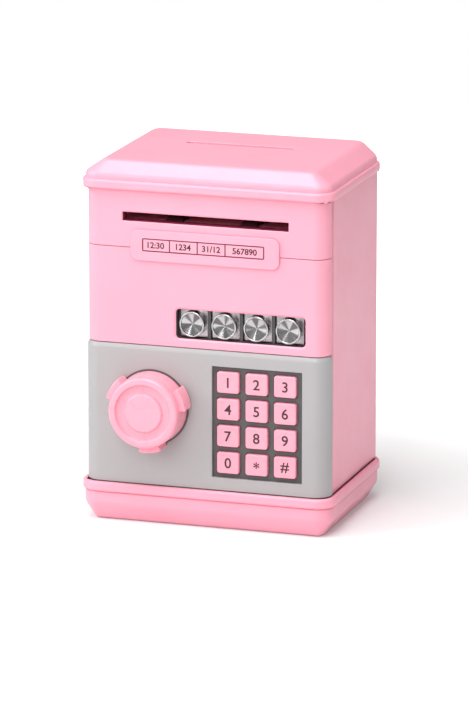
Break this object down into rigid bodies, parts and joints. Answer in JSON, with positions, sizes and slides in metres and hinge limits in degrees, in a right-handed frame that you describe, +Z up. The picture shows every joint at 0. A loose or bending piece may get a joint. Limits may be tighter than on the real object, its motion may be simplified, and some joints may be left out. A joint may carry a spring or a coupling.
{
  "type": "toy safe coin bank",
  "caption": "Toy safe money box with a hinged front door, keypad, turning latch knob, banknote slot with feeder and a coin slot in the lid.",
  "frame": {"origin": "on the flat underside, below the middle of the box", "axes": "+Z up, -Y out of the front door, +X to the right as seen from the front"},
  "size_m": [0.1368, 0.1096, 0.19],
  "materials": {
    "pink_plastic": "glossy moulded plastic",
    "grey_plastic": "satin moulded plastic",
    "dark_plastic": "matt dark grey plastic",
    "steel": "plated steel",
    "chrome_trim": "metallised plastic",
    "lamp_lens": "clear lens",
    "rubber": "matt rubber",
    "circuit_board": "green laminate",
    "black_plastic": "black plastic",
    "white_plastic": "natural nylon"
  },
  "bodies": {
    "cabinet": {"base": "pink_plastic", "body_shell": "pink_plastic", "upper_front": "pink_plastic", "lid_cover": "pink_plastic", "vault_floor": "pink_plastic", "hinge_pins": "steel", "base_screws": "steel", "battery_box": "dark_plastic", "battery_cells": "black_plastic", "battery_contacts": "steel", "feed_frame": "pink_plastic", "feed_motor": "steel"},
    "door": {"door_shell": "pink_plastic", "door_panel": "grey_plastic", "label_plate": "pink_plastic", "key_frame": "dark_plastic", "key_mat": "rubber", "key_board": "circuit_board", "lamp_tray": "dark_plastic", "lamp_reflectors": "chrome_trim", "lamp_caps": "chrome_trim", "lamp_leds": "lamp_lens", "lamp_board": "circuit_board", "main_board": "circuit_board", "speaker": "black_plastic", "door_back": "pink_plastic", "door_screws": "steel", "lock_coil": "black_plastic"},
    "knob": {"knob": "pink_plastic", "knob_shaft": "white_plastic", "knob_clip": "steel"},
    "bolt": {"latch_bolt": "steel"},
    "plunger": {"lock_plunger": "steel"},
    "drive_roller": {"drive_shaft": "steel", "drive_rollers": "rubber", "drive_gear": "white_plastic"},
    "idle_roller": {"idle_shaft": "steel", "idle_rollers": "rubber"},
    "pinion": {"motor_pinion": "white_plastic"},
    "battery_lid": {"battery_cover": "pink_plastic", "battery_screw": "steel"},
    "key_1": {"key_1": "pink_plastic"},
    "key_2": {"key_2": "pink_plastic"},
    "key_3": {"key_3": "pink_plastic"},
    "key_4": {"key_4": "pink_plastic"},
    "key_5": {"key_5": "pink_plastic"},
    "key_6": {"key_6": "pink_plastic"},
    "key_7": {"key_7": "pink_plastic"},
    "key_8": {"key_8": "pink_plastic"},
    "key_9": {"key_9": "pink_plastic"},
    "key_star": {"key_star": "pink_plastic"},
    "key_0": {"key_0": "pink_plastic"},
    "key_hash": {"key_hash": "pink_plastic"}
  },
  "joints": [
    {"name": "door_hinge", "type": "hinge", "parent": "cabinet", "child": "door", "pos_m": [0.0625, -0.039, 0.083], "axis": [0, 0, 1], "range_deg": [0, 95]},
    {"name": "knob_turn", "type": "hinge", "parent": "door", "child": "knob", "pos_m": [-0.0286, -0.053, 0.0627], "axis": [0, -1, 0], "range_deg": [0, 90]},
    {"name": "bolt_slide", "type": "slide", "parent": "door", "child": "bolt", "axis": [-1, 0, 0], "range_m": [0, 0.0085]},
    {"name": "plunger_slide", "type": "slide", "parent": "door", "child": "plunger", "axis": [0, 0, -1], "range_m": [0, 0.002], "stiffness_N_per_m": 200},
    {"name": "drive_spin", "type": "hinge", "parent": "cabinet", "child": "drive_roller", "pos_m": [0, -0.028, 0.1545], "axis": [1, 0, 0], "continuous": true},
    {"name": "idle_spin", "type": "hinge", "parent": "cabinet", "child": "idle_roller", "pos_m": [0, -0.028, 0.1689], "axis": [1, 0, 0], "continuous": true},
    {"name": "pinion_spin", "type": "hinge", "parent": "cabinet", "child": "pinion", "pos_m": [0.05, -0.0175, 0.14845], "axis": [1, 0, 0], "continuous": true},
    {"name": "battery_lid_slide", "type": "slide", "parent": "cabinet", "child": "battery_lid", "axis": [0, 0, -1], "range_m": [0, 0.03]},
    {"name": "key_1_press", "type": "slide", "parent": "door", "child": "key_1", "axis": [0, 1, 0], "range_m": [0, 0.0012], "stiffness_N_per_m": 400},
    {"name": "key_2_press", "type": "slide", "parent": "door", "child": "key_2", "axis": [0, 1, 0], "range_m": [0, 0.0012], "stiffness_N_per_m": 400},
    {"name": "key_3_press", "type": "slide", "parent": "door", "child": "key_3", "axis": [0, 1, 0], "range_m": [0, 0.0012], "stiffness_N_per_m": 400},
    {"name": "key_4_press", "type": "slide", "parent": "door", "child": "key_4", "axis": [0, 1, 0], "range_m": [0, 0.0012], "stiffness_N_per_m": 400},
    {"name": "key_5_press", "type": "slide", "parent": "door", "child": "key_5", "axis": [0, 1, 0], "range_m": [0, 0.0012], "stiffness_N_per_m": 400},
    {"name": "key_6_press", "type": "slide", "parent": "door", "child": "key_6", "axis": [0, 1, 0], "range_m": [0, 0.0012], "stiffness_N_per_m": 400},
    {"name": "key_7_press", "type": "slide", "parent": "door", "child": "key_7", "axis": [0, 1, 0], "range_m": [0, 0.0012], "stiffness_N_per_m": 400},
    {"name": "key_8_press", "type": "slide", "parent": "door", "child": "key_8", "axis": [0, 1, 0], "range_m": [0, 0.0012], "stiffness_N_per_m": 400},
    {"name": "key_9_press", "type": "slide", "parent": "door", "child": "key_9", "axis": [0, 1, 0], "range_m": [0, 0.0012], "stiffness_N_per_m": 400},
    {"name": "key_star_press", "type": "slide", "parent": "door", "child": "key_star", "axis": [0, 1, 0], "range_m": [0, 0.0012], "stiffness_N_per_m": 400},
    {"name": "key_0_press", "type": "slide", "parent": "door", "child": "key_0", "axis": [0, 1, 0], "range_m": [0, 0.0012], "stiffness_N_per_m": 400},
    {"name": "key_hash_press", "type": "slide", "parent": "door", "child": "key_hash", "axis": [0, 1, 0], "range_m": [0, 0.0012], "stiffness_N_per_m": 400}
  ],
  "couplings": [
    {"joint": "bolt_slide", "follows": "knob_turn", "m_per_rad": 0.0054},
    {"joint": "idle_spin", "follows": "drive_spin", "ratio": -1},
    {"joint": "pinion_spin", "follows": "drive_spin", "ratio": -3}
  ]
}
